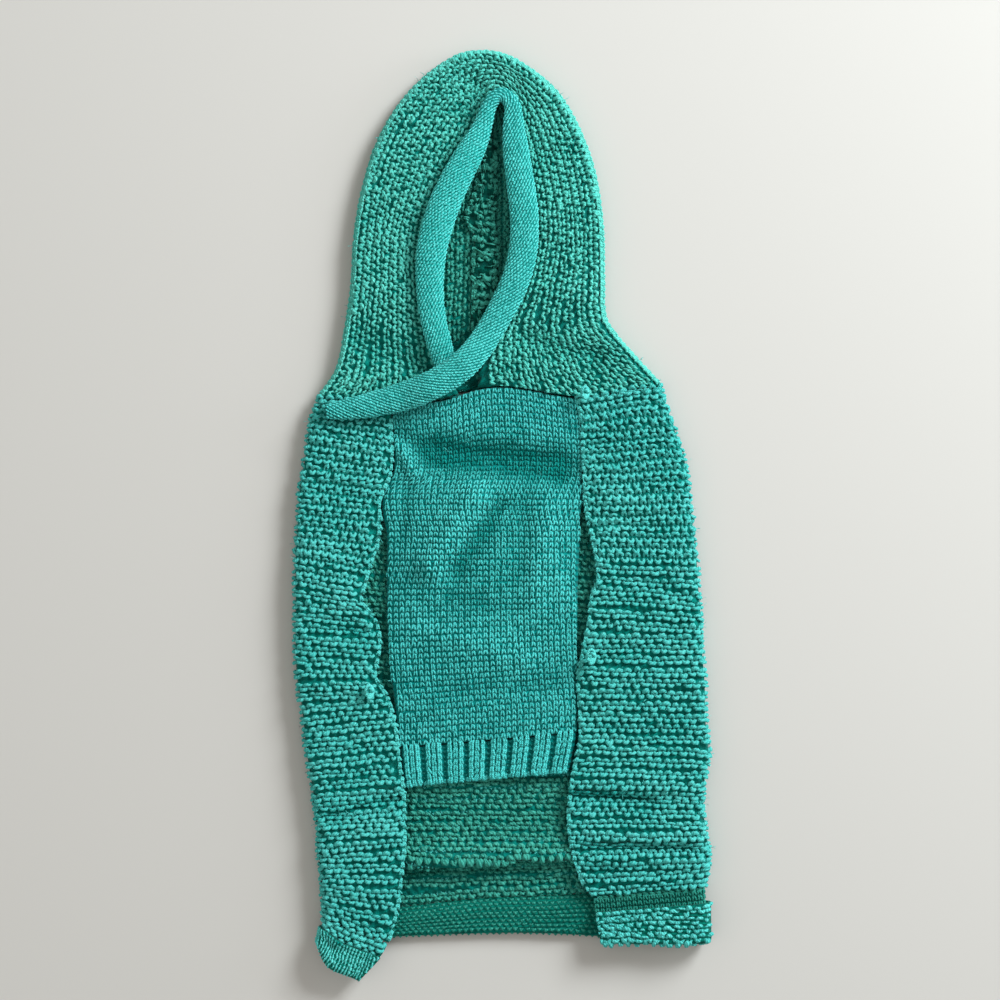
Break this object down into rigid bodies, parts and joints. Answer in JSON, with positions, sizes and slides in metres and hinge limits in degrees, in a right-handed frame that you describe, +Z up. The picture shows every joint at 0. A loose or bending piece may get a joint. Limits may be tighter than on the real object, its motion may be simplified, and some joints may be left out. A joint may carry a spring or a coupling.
{
  "type": "hooded dog coat",
  "caption": "Knitted hooded dog coat laid flat with the belly side up, with side flaps, a belly panel, leg openings and a rolled hood edge.",
  "frame": {"origin": "on the floor under the middle of the coat's box", "axes": "+Y from the tail hem to the top of the hood, +X to the right seen from above with the hood away, +Z up from the surface the coat lies on, belly side up"},
  "size_m": [0.1556, 0.344, 0.0159],
  "materials": {
    "garter_knit": "teal acrylic yarn in garter stitch, matt with a soft sheen",
    "belly_knit": "teal acrylic yarn in stockinette, matt with a soft sheen",
    "hem_knit": "teal acrylic yarn in fine reverse stockinette",
    "band_knit": "teal acrylic yarn in fine stockinette, rolled, slightly lighter"
  },
  "bodies": {
    "root": {"back_panel": "garter_knit", "hood": "garter_knit", "hood_back_seam": "garter_knit", "belly_panel": "belly_knit", "belly_rib": "belly_knit", "tail_hem": "hem_knit", "hood_band": "band_knit"}
  },
  "joints": []
}
